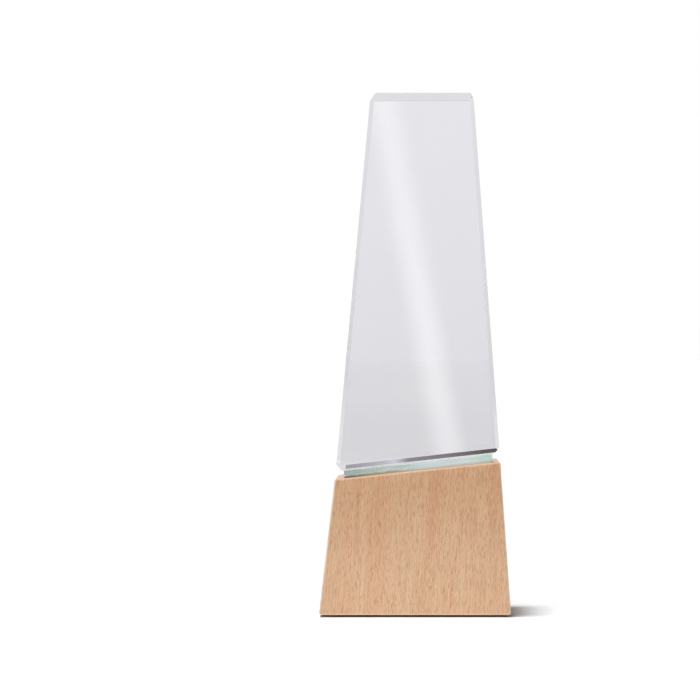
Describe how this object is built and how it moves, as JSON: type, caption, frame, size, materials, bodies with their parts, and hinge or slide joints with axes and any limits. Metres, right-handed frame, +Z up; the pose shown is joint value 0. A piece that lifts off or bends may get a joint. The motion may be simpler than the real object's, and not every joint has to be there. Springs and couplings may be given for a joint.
{
  "type": "crystal award",
  "caption": "Tapered clear crystal block with a bevelled front, bonded over a thin glass spacer to a tapered beech base whose top is cut at a slope.",
  "frame": {"origin": "on the table, under the middle of the base", "axes": "+Z up, +X to the right seen from the front, where the sloped joint rises, and +Y from front to back"},
  "size_m": [0.0769, 0.045, 0.21],
  "materials": {
    "crystal": "clear optical crystal, ground flat and polished on every face",
    "clear_bond": "clear adhesive film, cured under light",
    "float_glass": "float glass with ground edges, pale green through its thickness",
    "bedding_adhesive": "adhesive that fills the wood's pores, slightly amber",
    "beech": "steamed beech, sanded and matt lacquered, grain upright",
    "pad_adhesive": "pressure-sensitive adhesive layer",
    "felt": "dark brown pressed felt"
  },
  "bodies": {
    "root": {"crystal_block": "crystal", "upper_bond_film": "clear_bond", "glass_spacer": "float_glass", "lower_bond_bed": "bedding_adhesive", "beech_base": "beech", "pad_adhesive": "pad_adhesive", "base_pad": "felt"}
  },
  "joints": []
}
